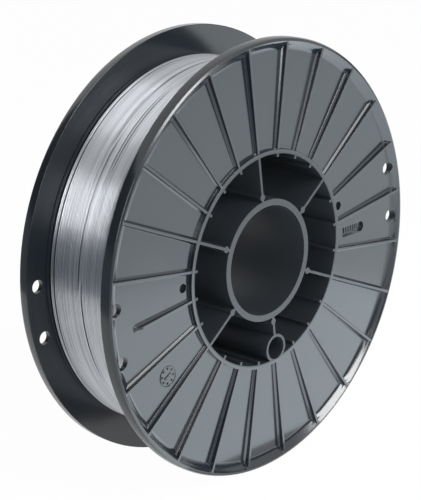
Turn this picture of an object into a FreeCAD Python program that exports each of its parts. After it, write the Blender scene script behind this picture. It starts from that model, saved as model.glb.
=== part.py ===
import FreeCAD, Part

import math
import os

from FreeCAD import Vector

# A spool of welding wire: one plastic moulding with two ribbed flanges, and the wire wound on it.
# The spool's axis is Y and its front flange faces -Y. +Z is up, the spool stands on its two rims,
# and the origin is in the bore, halfway between the flanges. Millimetres and degrees.
# Angles round the axis run from +X towards +Z, as they are seen from the front.

# Overall sizes
FLANGE_DIAMETER = 200.0
SPOOL_WIDTH = 55.0
BORE_DIAMETER = 50.5
BORE_WALL = 2.9
BARREL_DIAMETER = 101.0
BARREL_WALL = 1.9

# Flange section, measured back from the plane of the rim's crest. The plate runs up to the rim's
# crest in one S curve, hollow at the plate and round at the crest.
FLANGE_THICKNESS = 5.0
HUB_RECESS = 1.7
RIM_RECESS = 2.7
RIM_WALL_LEAN = 65.0
RIM_INNER_ROUND = 1.6
RIM_OUTER_ROUND = 1.6

# Ribs on the outside of each flange, and the spokes that carry the bore tube
RIB_COUNT = 24
RIB_PHASE = 7.9
RIB_DROP = 0.15
RIB_CREST_WIDTH = 1.2
RIB_FOOT_WIDTH = 1.7
RIB_ROOT_DEPTH = 4.5
RIB_FOOT_SLOPE = 0.9
SPOKE_STEP = 4
SPOKE_FIRST_INDEX = 2
SPOKE_THICKNESS = 1.3
POST_DIAMETER = 3.0
POST_STANDOFF = 2.1
FIN_WIDTH = 1.2
FIN_HEIGHT = 1.6

# One rib on each flange stops short of the rim, where the wire's end is bent over
SHORT_RIB_INDEX = 12
SHORT_RIB_INSET = 15.1
SHORT_RIB_END_SLOPE = 4.2

# Drive pin socket, on the lowest spoke
DRIVE_SPOKE_INDEX = 18
DRIVE_RADIUS = 43.6
DRIVE_HOLE_DIAMETER = 10.6
DRIVE_WALL = 1.3

# Holes that hold the wire's ends, each midway between two ribs
END_HOLE_DIAMETER = 6.0
END_HOLE_INSET = 6.4
END_HOLE_CELLS = (0, 1, 12, 13)
HUB_HOLE_DIAMETER = 4.0
HUB_HOLE_STANDOFF = 3.5
HUB_HOLE_CELLS = (1, 12)

# Toothed slot that grips the wire's start, in the front flange only
GRIP_CELL_INDEX = 0
GRIP_STANDOFF = 5.4
GRIP_LENGTH = 13.9
GRIP_WIDTH = 4.6
GRIP_EYE_DIAMETER = 4.8
TOOTH_COUNT = 8
TOOTH_PITCH = 1.42
TOOTH_THICKNESS = 0.75
TOOTH_LENGTH = 2.9

# Wound wire
COIL_DIAMETER = 173.2
COIL_CLEARANCE = 0.1
GROOVE_PLACE = 5.3
GROOVE_WIDTH = 1.2
GROOVE_DEPTH = 0.8

# Worked out from the sizes above
END_PLANE = SPOOL_WIDTH / 2
FLANGE_RADIUS = FLANGE_DIAMETER / 2
BARREL_RADIUS = BARREL_DIAMETER / 2
BARREL_INNER_RADIUS = BARREL_RADIUS - BARREL_WALL
BORE_RADIUS = BORE_DIAMETER / 2
TUBE_RADIUS = BORE_RADIUS + BORE_WALL
INNER_FACE = END_PLANE - FLANGE_THICKNESS
RIM_CREST_RADIUS = FLANGE_RADIUS - RIM_OUTER_ROUND
RIM_COVE_RADIUS = RIM_RECESS / (1 - math.cos(math.radians(RIM_WALL_LEAN))) - RIM_INNER_ROUND
RIM_WALL_RUN = (RIM_INNER_ROUND + RIM_COVE_RADIUS) * math.sin(math.radians(RIM_WALL_LEAN))
RIM_FOOT_RADIUS = RIM_CREST_RADIUS - RIM_WALL_RUN
END_HOLE_RADIUS = FLANGE_RADIUS - END_HOLE_INSET
HUB_HOLE_RADIUS = BARREL_RADIUS + HUB_HOLE_STANDOFF
SHORT_RIB_FOOT_END = FLANGE_RADIUS - SHORT_RIB_INSET
SHORT_RIB_CREST_END = SHORT_RIB_FOOT_END - SHORT_RIB_END_SLOPE
GRIP_START = BARREL_RADIUS + GRIP_STANDOFF
RIB_PITCH = 360.0 / RIB_COUNT
AXIS = Vector(0, 1, 0)
CENTRE = Vector(0, 0, 0)

# Flats that stand for the rim's hollow and for its inner and outer round
COVE_FLATS = 2
INNER_ROUND_FLATS = 1
OUTER_ROUND_FLATS = 2

# How far a joined shape reaches into the one that carries it, and how deep it starts below a face
OVERLAP = BARREL_WALL / 2
SINK = 0.1


def rib_angle(index):
    return RIB_PHASE + index * RIB_PITCH


def cell_angle(index):
    return RIB_PHASE + (index - 0.5) * RIB_PITCH


def is_spoke(index):
    return index % SPOKE_STEP == SPOKE_FIRST_INDEX


def turned(shape, angle):
    # From the +X side round to the angle, going up towards +Z
    copy = shape.copy()
    copy.rotate(CENTRE, AXIS, -angle)
    return copy


def ring_solid(outer_radius, inner_radius, low, high):
    outer = Part.makeCylinder(outer_radius, high - low, Vector(0, low, 0), AXIS)
    inner = Part.makeCylinder(inner_radius, high - low, Vector(0, low, 0), AXIS)
    return outer.cut(inner)


def post(diameter, radius, low, high):
    return Part.makeCylinder(diameter / 2, high - low, Vector(radius, low, 0), AXIS)


def slab(start, end, thickness, low, high):
    corner = Vector(start, low, -thickness / 2)
    return Part.makeBox(end - start, high - low, thickness, corner)


def arc_points(centre, radius, start_angle, end_angle, flats):
    # A round in a few flats, as points of (radius, height) on the arc, both ends with it
    points = []
    for step in range(flats + 1):
        turn = math.radians(start_angle + (end_angle - start_angle) * step / flats)
        points.append((centre[0] + radius * math.cos(turn), centre[1] + radius * math.sin(turn)))
    return points


def revolved(section):
    # A closed outline of (radius, height) points, turned round the axis
    outline = Part.makePolygon([Vector(radius, height, 0) for radius, height in section + section[:1]])
    return Part.Face(outline).revolve(CENTRE, AXIS, 360)


def plate_height(reach):
    # The plate's outer face lies deeper towards the rim
    share = (reach - BARREL_RADIUS) / (RIM_FOOT_RADIUS - BARREL_RADIUS)
    return -END_PLANE + HUB_RECESS + (RIM_RECESS - HUB_RECESS) * share


def sided_outline(reach, height):
    # One flat side in each cell between two ribs, its corners on the ribs
    corner = Vector(reach / math.cos(math.radians(RIB_PITCH / 2)), height, 0)
    return [turned(Part.Vertex(corner), rib_angle(i)).Point for i in range(RIB_COUNT)]


def front_plate():
    # A flat field in each cell, from inside the barrel's wall to inside the rim
    near = BARREL_RADIUS - OVERLAP
    far = RIM_FOOT_RADIUS + OVERLAP
    levels = [
        sided_outline(near, plate_height(near)),
        sided_outline(far, plate_height(far)),
        sided_outline(far, -INNER_FACE),
        sided_outline(near, -INNER_FACE),
    ]
    faces = []
    for low, high in zip(levels, levels[1:] + levels[:1]):
        for i in range(RIB_COUNT):
            corners = [low[i], low[i - 1], high[i - 1], high[i], low[i]]
            faces.append(Part.Face(Part.makePolygon(corners)))
    return Part.Solid(Part.Shell(faces))


def front_rim():
    # The rim's S curve, its round crest, its outer wall and its inner face
    crest = -END_PLANE
    inner = -INNER_FACE
    lean = RIM_WALL_LEAN
    cove_centre = (RIM_FOOT_RADIUS, crest + RIM_RECESS - RIM_COVE_RADIUS)
    round_centre = (RIM_CREST_RADIUS, crest + RIM_INNER_ROUND)
    outer_centre = (RIM_CREST_RADIUS, crest + RIM_OUTER_ROUND)
    cove = arc_points(cove_centre, RIM_COVE_RADIUS, 90, 90 - lean, COVE_FLATS)
    rounded = arc_points(round_centre, RIM_INNER_ROUND, -90 - lean, -90, INNER_ROUND_FLATS)
    outer = arc_points(outer_centre, RIM_OUTER_ROUND, -90, 0, OUTER_ROUND_FLATS)
    first_slope = (cove[0][1] - cove[1][1]) / (cove[1][0] - cove[0][0])
    foot = (RIM_FOOT_RADIUS - SINK / first_slope, crest + RIM_RECESS + SINK)
    return revolved([(foot[0], inner), foot] + cove[1:-1] + rounded + outer[1:] + [(FLANGE_RADIUS, inner)])


def rib_half_width(depth):
    # Half the width of a rib at a depth below the plane of the rim's crest
    return (RIB_CREST_WIDTH + (RIB_FOOT_WIDTH - RIB_CREST_WIDTH) * depth / RIB_ROOT_DEPTH) / 2


def rib_profile(start, half_widths):
    # A symmetrical section across a rib, from pairs of depth and half width
    right = [Vector(start, depth - END_PLANE, half) for depth, half in half_widths]
    left = [Vector(start, depth - END_PLANE, -half) for depth, half in reversed(half_widths)]
    return Part.Face(Part.makePolygon(right + left + right[:1]))


def rib_feet(start, end):
    # A sloping foot on both sides of a rib, which follows the plate's slope
    depth = plate_height(start) + END_PLANE
    top = depth - RIB_FOOT_SLOPE
    half = rib_half_width(top) - SINK
    profile = rib_profile(start, [
        (top, half),
        (depth, half + RIB_FOOT_SLOPE),
        (depth + SINK, half + RIB_FOOT_SLOPE),
    ])
    return profile.extrude(Vector(end - start, plate_height(end) - plate_height(start), 0))


def front_rib(short):
    # Tapered bar: wide at the plate, narrow at the crest, its crest a little lower than the rim's
    start = BARREL_RADIUS - OVERLAP
    end = RIM_CREST_RADIUS
    section = rib_profile(start, [(d, rib_half_width(d)) for d in (RIB_DROP, RIB_ROOT_DEPTH)])
    bar = section.extrude(Vector(end - start, 0, 0)).fuse(rib_feet(start, end))
    if not short:
        return bar
    crest = -END_PLANE
    lead = SHORT_RIB_END_SLOPE / RIM_RECESS * FLANGE_THICKNESS
    half_reach = RIB_FOOT_WIDTH / 2 + RIB_FOOT_SLOPE
    reach = Part.makePolygon([
        Vector(start, crest, -half_reach),
        Vector(SHORT_RIB_CREST_END, crest, -half_reach),
        Vector(SHORT_RIB_CREST_END + lead, crest + FLANGE_THICKNESS, -half_reach),
        Vector(start, crest + FLANGE_THICKNESS, -half_reach),
        Vector(start, crest, -half_reach),
    ])
    return bar.common(Part.Face(reach).extrude(Vector(0, 0, 2 * half_reach)))


def front_ribs():
    full = front_rib(False)
    short = front_rib(True)
    return [turned(short if i == SHORT_RIB_INDEX else full, rib_angle(i)) for i in range(RIB_COUNT)]


def mirrored(shape):
    return shape.mirror(CENTRE, AXIS)


def spokes():
    # A web from the bore tube to the barrel, with a round post at its root beside the tube
    web = slab(TUBE_RADIUS - OVERLAP, BARREL_INNER_RADIUS + OVERLAP, SPOKE_THICKNESS, -END_PLANE, END_PLANE)
    root = post(POST_DIAMETER, TUBE_RADIUS + POST_STANDOFF, -END_PLANE, END_PLANE)
    spoke = web.fuse(root)
    return [turned(spoke, rib_angle(i)) for i in range(RIB_COUNT) if is_spoke(i)]


def barrel_fins():
    fin = slab(BARREL_INNER_RADIUS - FIN_HEIGHT, BARREL_INNER_RADIUS + OVERLAP, FIN_WIDTH,
               -END_PLANE, END_PLANE)
    return [turned(fin, rib_angle(i)) for i in range(RIB_COUNT) if not is_spoke(i)]


def drive_socket():
    diameter = DRIVE_HOLE_DIAMETER + 2 * DRIVE_WALL
    return turned(post(diameter, DRIVE_RADIUS, -END_PLANE, END_PLANE), rib_angle(DRIVE_SPOKE_INDEX))


def drive_hole():
    hole = post(DRIVE_HOLE_DIAMETER, DRIVE_RADIUS, -END_PLANE, END_PLANE)
    return turned(hole, rib_angle(DRIVE_SPOKE_INDEX))


def end_holes():
    rim_hole = post(END_HOLE_DIAMETER, END_HOLE_RADIUS, -END_PLANE, END_PLANE)
    hub_hole = post(HUB_HOLE_DIAMETER, HUB_HOLE_RADIUS, -END_PLANE, END_PLANE)
    holes = [turned(rim_hole, cell_angle(i)) for i in END_HOLE_CELLS]
    return holes + [turned(hub_hole, cell_angle(i)) for i in HUB_HOLE_CELLS]


def grip_slot():
    # A straight slot that ends in a round eye, with a comb of teeth left standing on one side
    low = -END_PLANE
    high = -INNER_FACE
    end = GRIP_START + GRIP_LENGTH
    cutter = slab(GRIP_START, end, GRIP_WIDTH, low, high)
    cutter = cutter.fuse(post(GRIP_EYE_DIAMETER, end, low, high))
    first = GRIP_START + TOOTH_PITCH - TOOTH_THICKNESS / 2
    for i in range(TOOTH_COUNT):
        start = first + TOOTH_PITCH * i
        corner = Vector(start, low, GRIP_WIDTH / 2 - TOOTH_LENGTH)
        tooth = Part.makeBox(TOOTH_THICKNESS, high - low, TOOTH_LENGTH + GRIP_WIDTH, corner)
        cutter = cutter.cut(tooth)
    return turned(cutter, cell_angle(GRIP_CELL_INDEX))


def make_spool():
    plate = front_plate()
    rim = front_rim()
    ribs = front_ribs()
    barrel = ring_solid(BARREL_RADIUS, BARREL_INNER_RADIUS, -END_PLANE, END_PLANE)
    tube = ring_solid(TUBE_RADIUS, BORE_RADIUS, -END_PLANE, END_PLANE)
    webs = spokes() + barrel_fins() + [drive_socket()]
    both_flanges = [plate, mirrored(plate), rim, mirrored(rim)]
    both_ribs = ribs + [mirrored(rib) for rib in ribs]
    moulding = barrel.multiFuse([tube] + both_flanges + both_ribs + webs)
    moulding = moulding.cut(Part.makeCompound([drive_hole(), grip_slot()] + end_holes()))
    return moulding.removeSplitter()


def make_wire_coil():
    # Turned section of the wound wire, with the groove in its last layer
    inner = BARREL_RADIUS + COIL_CLEARANCE
    outer = COIL_DIAMETER / 2
    side = INNER_FACE - COIL_CLEARANCE
    return revolved([
        (inner, -side),
        (outer, -side),
        (outer, GROOVE_PLACE - GROOVE_WIDTH / 2),
        (outer - GROOVE_DEPTH, GROOVE_PLACE),
        (outer, GROOVE_PLACE + GROOVE_WIDTH / 2),
        (outer, side),
        (inner, side),
    ])


def main():
    os.makedirs("parts", exist_ok=True)
    nodes = {"spool": make_spool(), "wire_coil": make_wire_coil()}
    for name, shape in nodes.items():
        solid = shape.Solids[0]
        print(name, "solids", len(shape.Solids), "valid", shape.isValid(), "volume", round(shape.Volume))
        solid.exportStep("parts/" + name + ".step")


main()
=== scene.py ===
import math

import bpy
import numpy as np
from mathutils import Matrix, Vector


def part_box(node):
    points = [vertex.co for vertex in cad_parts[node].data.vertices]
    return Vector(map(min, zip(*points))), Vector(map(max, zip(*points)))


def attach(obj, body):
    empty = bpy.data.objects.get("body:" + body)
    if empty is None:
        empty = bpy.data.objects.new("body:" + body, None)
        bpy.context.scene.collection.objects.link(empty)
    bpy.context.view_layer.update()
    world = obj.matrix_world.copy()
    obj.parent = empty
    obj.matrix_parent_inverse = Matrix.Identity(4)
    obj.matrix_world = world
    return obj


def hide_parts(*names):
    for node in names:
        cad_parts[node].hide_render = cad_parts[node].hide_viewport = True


mm = 0.001

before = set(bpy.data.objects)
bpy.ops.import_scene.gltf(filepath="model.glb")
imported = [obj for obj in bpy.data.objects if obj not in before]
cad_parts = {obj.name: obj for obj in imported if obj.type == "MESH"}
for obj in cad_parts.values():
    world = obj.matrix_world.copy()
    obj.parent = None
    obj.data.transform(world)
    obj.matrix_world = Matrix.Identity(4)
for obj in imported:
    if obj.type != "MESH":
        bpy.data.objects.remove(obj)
bpy.context.view_layer.update()
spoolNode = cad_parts["spool"]
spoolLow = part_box("spool")[0]
coilLow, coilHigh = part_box("wire_coil")
scene = bpy.context.scene
print("frame loaded")


# Object helpers
def clearSelection():
    bpy.ops.object.select_all(action="DESELECT")


def activeObject():
    return bpy.context.view_layer.objects.active


def activate(obj):
    clearSelection()
    obj.select_set(True)
    bpy.context.view_layer.objects.active = obj


def applyModifiers(obj):
    activate(obj)
    for modifier in list(obj.modifiers):
        bpy.ops.object.modifier_apply(modifier=modifier.name)


def applyPlace(obj):
    activate(obj)
    bpy.ops.object.transform_apply(location=True, rotation=True, scale=True)


def smoothTo(obj, degrees):
    activate(obj)
    bpy.ops.object.shade_smooth_by_angle(angle=math.radians(degrees))


def nameIt(obj, name):
    obj.name = name
    obj.data.name = name


def joinPieces(parts, name):
    activate(parts[0])
    for part in parts:
        part.select_set(True)
    bpy.ops.object.join()
    nameIt(activeObject(), name)
    return activeObject()


def finishIn(obj, material):
    obj.data.materials.clear()
    obj.data.materials.append(material)


# Node helpers
def newMaterial(name):
    material = bpy.data.materials.new(name)
    material.use_nodes = True
    tree = material.node_tree
    tree.nodes.clear()
    output = tree.nodes.new("ShaderNodeOutputMaterial")
    shader = tree.nodes.new("ShaderNodeBsdfPrincipled")
    tree.links.new(shader.outputs["BSDF"], output.inputs["Surface"])
    return material, tree, shader


def objectPlace(tree):
    return tree.nodes.new("ShaderNodeTexCoord").outputs["Object"]


def stretchNode(tree, vector, scale):
    node = tree.nodes.new("ShaderNodeMapping")
    node.inputs["Scale"].default_value = scale
    tree.links.new(vector, node.inputs["Vector"])
    return node.outputs["Vector"]


def noiseNode(tree, vector, scale, detail):
    node = tree.nodes.new("ShaderNodeTexNoise")
    node.inputs["Scale"].default_value = scale
    node.inputs["Detail"].default_value = detail
    tree.links.new(vector, node.inputs["Vector"])
    return node.outputs["Fac"]


def rangeNode(tree, value, reads, gives):
    node = tree.nodes.new("ShaderNodeMapRange")
    node.inputs["From Min"].default_value = reads[0]
    node.inputs["From Max"].default_value = reads[1]
    node.inputs["To Min"].default_value = gives[0]
    node.inputs["To Max"].default_value = gives[1]
    tree.links.new(value, node.inputs["Value"])
    return node.outputs["Result"]


def mathNode(tree, operation, value, number):
    node = tree.nodes.new("ShaderNodeMath")
    node.operation = operation
    node.inputs[1].default_value = number
    tree.links.new(value, node.inputs[0])
    return node.outputs[0]


def mixColours(tree, factor, first, second):
    node = tree.nodes.new("ShaderNodeMix")
    node.data_type = "RGBA"
    node.inputs["A"].default_value = (*first, 1)
    node.inputs["B"].default_value = (*second, 1)
    tree.links.new(factor, node.inputs["Factor"])
    return node.outputs["Result"]


# The spool's plastic: glossy with soft flow marks and moulded edges, duller inside the hub
plastic = {
    "colour": (0.007, 0.010, 0.014),
    "worn": (0.011, 0.015, 0.019),
    "cloudScale": 28,
    "cloudDetail": 4,
    "cloudRange": (0.3, 0.7),
    "roughness": (0.13, 0.21),
    "hubRoughness": 0.55,
    "hubRadius": 49.2 * mm,
    "ior": 1.6,
    "edgeRound": 0.35 * mm,
    "edgeSamples": 8,
    "flowScale": 45,
    "flowDetail": 2,
    "flowStrength": 0.12,
    "flowDepth": 0.6 * mm,
}


def hubMask(tree, place):
    # One inside the hub and nought outside it, by the distance from the spool's axis
    flat = tree.nodes.new("ShaderNodeVectorMath")
    flat.operation = "MULTIPLY"
    flat.inputs[1].default_value = (1, 0, 1)
    tree.links.new(place, flat.inputs[0])
    reach = tree.nodes.new("ShaderNodeVectorMath")
    reach.operation = "LENGTH"
    tree.links.new(flat.outputs["Vector"], reach.inputs[0])
    return mathNode(tree, "LESS_THAN", reach.outputs["Value"], plastic["hubRadius"])


def makePlastic():
    material, tree, shader = newMaterial("spoolPlastic")
    place = objectPlace(tree)
    cloud = noiseNode(tree, place, plastic["cloudScale"], plastic["cloudDetail"])
    colour = mixColours(tree, cloud, plastic["colour"], plastic["worn"])
    tree.links.new(colour, shader.inputs["Base Color"])
    rough = tree.nodes.new("ShaderNodeMix")
    rough.data_type = "FLOAT"
    rough.inputs["B"].default_value = plastic["hubRoughness"]
    tree.links.new(hubMask(tree, place), rough.inputs["Factor"])
    satin = rangeNode(tree, cloud, plastic["cloudRange"], plastic["roughness"])
    tree.links.new(satin, rough.inputs["A"])
    tree.links.new(rough.outputs["Result"], shader.inputs["Roughness"])
    shader.inputs["IOR"].default_value = plastic["ior"]
    bevel = tree.nodes.new("ShaderNodeBevel")
    bevel.samples = plastic["edgeSamples"]
    bevel.inputs["Radius"].default_value = plastic["edgeRound"]
    bump = tree.nodes.new("ShaderNodeBump")
    bump.inputs["Strength"].default_value = plastic["flowStrength"]
    bump.inputs["Distance"].default_value = plastic["flowDepth"]
    flow = noiseNode(tree, place, plastic["flowScale"], plastic["flowDetail"])
    tree.links.new(flow, bump.inputs["Height"])
    tree.links.new(bevel.outputs["Normal"], bump.inputs["Normal"])
    tree.links.new(bump.outputs["Normal"], shader.inputs["Normal"])
    return material


# The wire's drawn steel, each turn a little lighter or darker than the next
steel = {
    "colour": (0.610, 0.630, 0.660),
    "dull": (0.420, 0.437, 0.464),
    "roughness": 0.33,
    "anisotropic": 0.9,
    "grainTurn": 0.25,  # quarter turn: rougher across the turns than along them
    "streaks": (10, 1300, 10),
    "streakDetail": 3,
    "streakRange": (0.35, 0.65),
}


def makeSteel():
    material, tree, shader = newMaterial("drawnSteel")
    shader.inputs["Metallic"].default_value = 1.0
    shader.inputs["Roughness"].default_value = steel["roughness"]
    shader.inputs["Anisotropic"].default_value = steel["anisotropic"]
    shader.inputs["Anisotropic Rotation"].default_value = steel["grainTurn"]
    along = tree.nodes.new("ShaderNodeTangent")
    along.direction_type = "RADIAL"
    along.axis = "Y"
    tree.links.new(along.outputs["Tangent"], shader.inputs["Tangent"])
    streak = noiseNode(tree, stretchNode(tree, objectPlace(tree), steel["streaks"]), 1, steel["streakDetail"])
    share = rangeNode(tree, streak, steel["streakRange"], (0, 1))
    tree.links.new(mixColours(tree, share, steel["dull"], steel["colour"]), shader.inputs["Base Color"])
    return material


# The spool itself: a merged copy of the moulding, so that its rounds shade as rounds
moulding = {
    "mergeDistance": 0.002 * mm,
    "smoothAngle": 40,
    "rimFrom": 94 * mm,
    "hubTo": 51 * mm,
    "twist": 0.12,  # how far a turned face may look aside, as a share of its normal
    "endFace": 0.985,  # a face as square to the axis as this is a flat end
}


def isTurned(face):
    # Whether a face belongs to the rim, the barrel or the bore tube, and not to a rib or a plate
    reach = Vector((face.center.x, 0, face.center.z))
    aside = abs(face.normal.cross(reach.normalized()).y)
    if aside > moulding["twist"] or abs(face.normal.y) > moulding["endFace"]:
        return False
    return reach.length > moulding["rimFrom"] or reach.length < moulding["hubTo"]


def makeMoulding():
    activate(spoolNode)
    bpy.ops.object.duplicate()
    copy = activeObject()
    nameIt(copy, "moulded_spool")
    bpy.ops.mesh.customdata_custom_splitnormals_clear()
    bpy.ops.object.mode_set(mode="EDIT")
    bpy.ops.mesh.select_all(action="SELECT")
    bpy.ops.mesh.remove_doubles(threshold=moulding["mergeDistance"])
    bpy.ops.object.mode_set(mode="OBJECT")
    smoothTo(copy, moulding["smoothAngle"])
    for face in copy.data.polygons:
        face.use_smooth = isTurned(face)
    return copy


# The wound wire: one turn beside the other over a turned core. Tables give an angle round the axis in
# degrees, and the share of the move that a turn makes there
winding = {
    "wireRadius": 0.4 * mm,
    "pitch": 0.8 * mm,
    "firstPlace": -21.5 * mm,
    "turns": 55,
    "edgeGapTurn": 52,
    "steps": 180,
    "sides": 6,
    "placeJitter": 0.06 * mm,
    "radiusJitter": 0.04 * mm,
    "seed": 7,
    "wanderers": (  # turns beside the gap, which step one place aside
        (31, ((0, 0), (176, 0), (181, 1), (198, 1), (226, 0), (360, 0))),
        (32, ((0, 0), (177, 0), (182, 1), (199, 1), (227, 0), (360, 0))),
        (33, ((0, 1), (60, 1), (84, 0), (134, 0), (139, 1), (360, 1))),
        (34, ((0, 1), (61, 1), (85, 0), (135, 0), (140, 1), (360, 1))),
    ),
    "dippingTurns": (26, 28, 36),  # turns that dip under their neighbours for a short way
    "dipTable": ((0, 0), (110, 0), (118, 1), (142, 1), (150, 0), (360, 0)),
    "dipDepth": 0.45 * mm,
    "dipMiddle": 130,
    "belowDrop": 1.3 * mm,
    "belowTurns": ((1.3 * mm, 8), (18.9 * mm, 3)),  # first place and number of the turns seen in the gaps
    "coreRadius": 84.3 * mm,
    "coreSides": 128,
    "boreRadius": 50.6 * mm,
    "smoothAngle": 70,
}


def windRings(name, rings):
    # Sections of wire side by side, all wound once round the axis
    sections = []
    for place, radius in rings:
        clearSelection()
        bpy.ops.mesh.primitive_circle_add(
            vertices=winding["sides"], radius=winding["wireRadius"], fill_type="NOTHING",
            location=(radius, place, 0))
        sections.append(activeObject())
    turns = joinPieces(sections, name)
    applyPlace(turns)
    screw = turns.modifiers.new("wind", "SCREW")
    screw.axis = "Y"
    screw.angle = 2 * math.pi
    screw.steps = winding["steps"]
    screw.render_steps = winding["steps"]
    screw.use_merge_vertices = True
    applyModifiers(turns)
    return turns


def pushTurn(turn, table, direction, distance):
    # Moves a turn along one direction, more or less at each angle round the axis
    group = turn.vertex_groups.new(name="moved")
    angles, shares = zip(*table)
    for vertex in turn.data.vertices:
        angle = math.degrees(math.atan2(vertex.co.z, vertex.co.x)) % 360
        group.add([vertex.index], float(np.interp(angle, angles, shares)), "REPLACE")
    push = turn.modifiers.new("moved", "DISPLACE")
    push.direction = direction
    push.mid_level = 0
    push.strength = distance
    push.vertex_group = group.name
    applyModifiers(turn)
    turn.vertex_groups.clear()


def makeTurns():
    chance = np.random.default_rng(winding["seed"])
    radius = coilHigh.x - winding["wireRadius"] - winding["radiusJitter"]
    places = winding["firstPlace"] + winding["pitch"] * np.arange(winding["turns"])
    places = places + chance.uniform(-1, 1, len(places)) * winding["placeJitter"]
    radii = radius + chance.uniform(-1, 1, len(places)) * winding["radiusJitter"]
    rings = list(zip(places, radii))
    dipping = list(winding["dippingTurns"])
    moved = [index for index, table in winding["wanderers"]]
    leftOut = moved + dipping + [moved[-1] + 1, winding["edgeGapTurn"]]  # room for the last wanderer too
    groups = [windRings("steadyTurns", [ring for index, ring in enumerate(rings) if index not in leftOut])]
    for index, table in winding["wanderers"]:
        turn = windRings("turnBesideGap", [rings[index]])
        pushTurn(turn, table, "Y", winding["pitch"])
        groups.append(turn)
    middle = math.radians(winding["dipMiddle"])
    dipped = windRings("dippingTurns", [rings[index] for index in dipping])
    pushTurn(dipped, winding["dipTable"], "X", -winding["dipDepth"] * math.cos(middle))
    pushTurn(dipped, winding["dipTable"], "Z", -winding["dipDepth"] * math.sin(middle))
    groups.append(dipped)
    below = []
    for start, count in winding["belowTurns"]:
        below += [(start + winding["pitch"] * i, radius - winding["belowDrop"]) for i in range(count)]
    groups.append(windRings("layerBelow", below))
    return groups


def makeCore():
    # Solid ring of the layers below, with its bore
    clearSelection()
    bpy.ops.mesh.primitive_cylinder_add(
        vertices=winding["coreSides"], radius=winding["coreRadius"], depth=coilHigh.y - coilLow.y,
        end_fill_type="NOTHING", rotation=(math.pi / 2, 0, 0))
    core = activeObject()
    applyPlace(core)
    wall = core.modifiers.new("wall", "SOLIDIFY")
    wall.thickness = winding["coreRadius"] - winding["boreRadius"]
    wall.offset = -1
    applyModifiers(core)
    return core


# A small generic dial moulded on the front plate, in low relief
dial = {
    "radius": 73.7 * mm,
    "angle": 211,
    "surface": -25.27 * mm,
    "height": 0.4 * mm,
    "ringRadius": 4.6 * mm,
    "ringTube": 0.28 * mm,
    "ringSteps": (40, 8),
    "dots": 8,
    "dotCircle": 3.4 * mm,
    "dotRadius": 0.5 * mm,
    "dotSides": 12,
    "pointer": (0.9 * mm, 4.2 * mm),
    "pointerTurn": 60,
    "smoothAngle": 40,
}


def makeDial():
    turn = math.radians(dial["angle"])
    centre = Vector((dial["radius"] * math.cos(turn), dial["surface"], dial["radius"] * math.sin(turn)))
    around, across = dial["ringSteps"]
    clearSelection()
    bpy.ops.mesh.primitive_torus_add(
        major_radius=dial["ringRadius"], minor_radius=dial["ringTube"], major_segments=around,
        minor_segments=across, location=centre, rotation=(math.pi / 2, 0, 0))
    parts = [activeObject()]
    for i in range(dial["dots"]):
        angle = 2 * math.pi * i / dial["dots"]
        place = centre + Vector((math.cos(angle), 0, math.sin(angle))) * dial["dotCircle"]
        clearSelection()
        bpy.ops.mesh.primitive_cylinder_add(
            vertices=dial["dotSides"], radius=dial["dotRadius"], depth=2 * dial["height"],
            location=place, rotation=(math.pi / 2, 0, 0))
        parts.append(activeObject())
    width, length = dial["pointer"]
    clearSelection()
    bpy.ops.mesh.primitive_cube_add(
        size=1, location=centre, rotation=(0, math.radians(dial["pointerTurn"]), 0),
        scale=(width, 2 * dial["height"], length))
    parts.append(activeObject())
    relief = joinPieces(parts, "moulded_dial")
    applyPlace(relief)
    smoothTo(relief, dial["smoothAngle"])
    return relief


plasticMaterial = makePlastic()
steelMaterial = makeSteel()
print("materials done")

wire = joinPieces(makeTurns() + [makeCore()], "wound_wire")
finishIn(wire, steelMaterial)
smoothTo(wire, winding["smoothAngle"])
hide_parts("wire_coil")
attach(wire, "root")
print("wire", len(wire.data.polygons), "faces")

spool = makeMoulding()
finishIn(spool, plasticMaterial)
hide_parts("spool")
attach(spool, "root")
print("spool", len(spool.data.polygons), "faces")

dialRelief = makeDial()
finishIn(dialRelief, plasticMaterial)
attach(dialRelief, "root")
print("dial", len(dialRelief.data.polygons), "faces")


# The camera, at the place from which the photo was taken
photo = {
    "azimuth": -47.763,
    "elevation": 17.022,
    "distance": 808.9 * mm,
    "focalPixels": 1782.25,
    "longSide": 500,
    "target": (-8.179 * mm, 0, 1.101 * mm),
    "sensor": 36,
    "clip": (0.01, 50),
}


def makeCamera():
    turn = math.radians(photo["azimuth"])
    lift = math.radians(photo["elevation"])
    away = Vector((math.sin(turn) * math.cos(lift), -math.cos(turn) * math.cos(lift), math.sin(lift)))
    data = bpy.data.cameras.new("camera")
    camera = bpy.data.objects.new("camera", data)
    scene.collection.objects.link(camera)
    camera.location = Vector(photo["target"]) + away * photo["distance"]
    camera.rotation_mode = "QUATERNION"
    camera.rotation_quaternion = (-away).to_track_quat("-Z", "Y")
    data.sensor_width = photo["sensor"]
    data.lens = photo["focalPixels"] / photo["longSide"] * photo["sensor"]
    data.clip_start, data.clip_end = photo["clip"]
    scene.camera = camera


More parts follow.
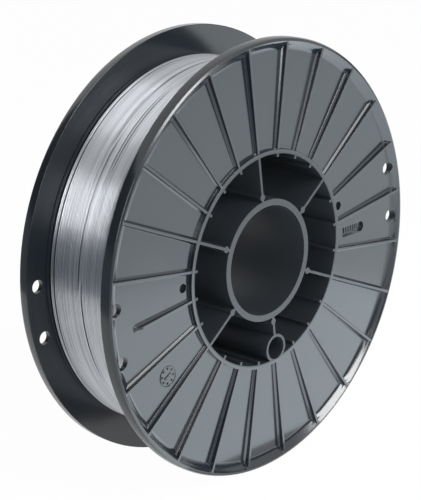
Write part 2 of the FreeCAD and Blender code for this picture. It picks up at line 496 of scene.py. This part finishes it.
# The studio: white floor and surround, three softboxes, two lamps that lie on the floor and shine up,
# and dim cards. The camera doesn't see lamps and cards, and the cards only mirror in the object: they are
# dark sheets with a faint glow, painted shade and painted light that show only in reflections
studio = {
    "floorSize": 6.0,
    "floorColour": (0.9, 0.9, 0.9),
    "floorRoughness": 0.8,
    "floorGlow": 0.97,
    "worldStrength": 0.5,
    "lamps": {
        "topBox": {"place": (0.0, -0.62, 0.78), "size": (0.6, 0.2), "radiance": 5},
        "frontBox": {"place": (0.15, -0.86, 0.46), "size": (0.5, 0.3), "radiance": 14},
        "leftBox": {"place": (-0.62, -0.66, 0.30), "size": (0.22, 0.42), "radiance": 12.5},
    },
    "floorLamps": {
        "nearGlow": {"place": (0.08, -0.1425, -0.097), "size": (0.32, 0.215), "radiance": 1.2},
        "farGlow": {"place": (0.81, -0.77, -0.097), "size": (1.78, 1.47), "radiance": 0.9},
    },
    "floorLampTint": (0.84, 0.96, 1.02),
    # Dark sheets with a faint glow, seen only in reflections: painted shade and painted light in what the
    # object mirrors
    "cards": {
        "lowCard": {"radius": 0.35, "low": -0.0998, "high": 0.06, "from": 95, "to": 255, "glow": 0.26},
        "backCard": {"radius": 0.60, "low": 0.0, "high": 0.55, "from": 100, "to": 185, "glow": 0.04},
        "frontCard": {"radius": 0.90, "low": 0.0, "high": 0.2, "from": 262, "to": 350, "glow": 0.04},
    },
    "cardSides": 72,
    "cardColour": (0.01, 0.01, 0.011),
    "cardRoughness": 0.9,
    "cardGlowTint": (0.92, 1.0, 1.12),
}


def seenShare(tree):
    # One for rays that see the white itself, straight on, mirrored or through something
    path = tree.nodes.new("ShaderNodeLightPath")
    share = path.outputs["Is Camera Ray"]
    for name in ("Is Glossy Ray", "Is Transmission Ray"):
        either = tree.nodes.new("ShaderNodeMath")
        either.operation = "MAXIMUM"
        tree.links.new(share, either.inputs[0])
        tree.links.new(path.outputs[name], either.inputs[1])
        share = either.outputs[0]
    return share


def mixShaders(tree, factor, first, second, output):
    mix = tree.nodes.new("ShaderNodeMixShader")
    tree.links.new(factor, mix.inputs["Fac"])
    tree.links.new(first.outputs[0], mix.inputs[1])
    tree.links.new(second.outputs[0], mix.inputs[2])
    tree.links.new(mix.outputs["Shader"], output.inputs["Surface"])


def makeFloor():
    clearSelection()
    bpy.ops.mesh.primitive_plane_add(size=studio["floorSize"], location=(0, 0, spoolLow.z))
    floor = activeObject()
    floor.name = "floor"
    material, tree, shader = newMaterial("whiteFloor")
    shader.inputs["Base Color"].default_value = (*studio["floorColour"], 1)
    shader.inputs["Roughness"].default_value = studio["floorRoughness"]
    glow = tree.nodes.new("ShaderNodeEmission")
    share = mathNode(tree, "MULTIPLY", seenShare(tree), studio["floorGlow"])
    mixShaders(tree, share, shader, glow, tree.get_output_node("ALL"))
    finishIn(floor, material)


def whiteSky(tree, strength):
    sky = tree.nodes.new("ShaderNodeBackground")
    sky.inputs["Color"].default_value = (1, 1, 1, 1)
    sky.inputs["Strength"].default_value = strength
    return sky


def makeWorld():
    world = bpy.data.worlds.new("studio")
    scene.world = world
    world.use_nodes = True
    tree = world.node_tree
    tree.nodes.clear()
    output = tree.nodes.new("ShaderNodeOutputWorld")
    fill = whiteSky(tree, studio["worldStrength"])
    mixShaders(tree, seenShare(tree), fill, whiteSky(tree, 1), output)


def addLamp(name, lamp):
    wide, high = lamp["size"]
    data = bpy.data.lights.new(name, "AREA")
    data.shape = "RECTANGLE"
    data.size = wide
    data.size_y = high
    data.energy = lamp["radiance"] * math.pi * wide * high
    light = bpy.data.objects.new(name, data)
    scene.collection.objects.link(light)
    light.location = lamp["place"]
    light.visible_camera = False
    return light


def makeLamps():
    for name, lamp in studio["lamps"].items():
        light = addLamp(name, lamp)
        light.rotation_mode = "QUATERNION"
        light.rotation_quaternion = (-light.location).to_track_quat("-Z", "Y")
    for name, lamp in studio["floorLamps"].items():
        light = addLamp(name, lamp)
        light.rotation_euler = (math.pi, 0, 0)
        light.data.color = studio["floorLampTint"]


def makeCard(name, card):
    # A standing card bent round part of the object: a tube with the faces outside its angles deleted
    clearSelection()
    bpy.ops.mesh.primitive_cylinder_add(
        vertices=studio["cardSides"], radius=card["radius"], depth=card["high"] - card["low"],
        end_fill_type="NOTHING", location=(0, 0, (card["high"] + card["low"]) / 2))
    sheet = activeObject()
    sheet.name = name
    bpy.ops.object.mode_set(mode="EDIT")
    bpy.ops.mesh.select_all(action="DESELECT")
    bpy.ops.object.mode_set(mode="OBJECT")
    for face in sheet.data.polygons:
        angle = math.degrees(math.atan2(face.center.y, face.center.x)) % 360
        face.select = not card["from"] < angle < card["to"]
    bpy.ops.object.mode_set(mode="EDIT")
    bpy.ops.mesh.select_mode(type="FACE")
    bpy.ops.mesh.delete(type="FACE")
    bpy.ops.object.mode_set(mode="OBJECT")
    # Dark sheet with a faint glow, though it is no lamp: a painted reflection of shade and dim light, seen
    # only in mirroring surfaces
    material, tree, shader = newMaterial(name + "Cloth")
    shader.inputs["Base Color"].default_value = (*studio["cardColour"], 1)
    shader.inputs["Roughness"].default_value = studio["cardRoughness"]
    shader.inputs["Emission Color"].default_value = (*studio["cardGlowTint"], 1)
    shader.inputs["Emission Strength"].default_value = card["glow"]
    finishIn(sheet, material)
    sheet.visible_camera = False
    sheet.visible_shadow = False
    sheet.visible_diffuse = False
    sheet.visible_transmission = False


makeCamera()
makeFloor()
makeWorld()
makeLamps()
for cardName, card in studio["cards"].items():
    makeCard(cardName, card)
scene.view_settings.view_transform = "Standard"
print("studio done")

bpy.context.view_layer.update()
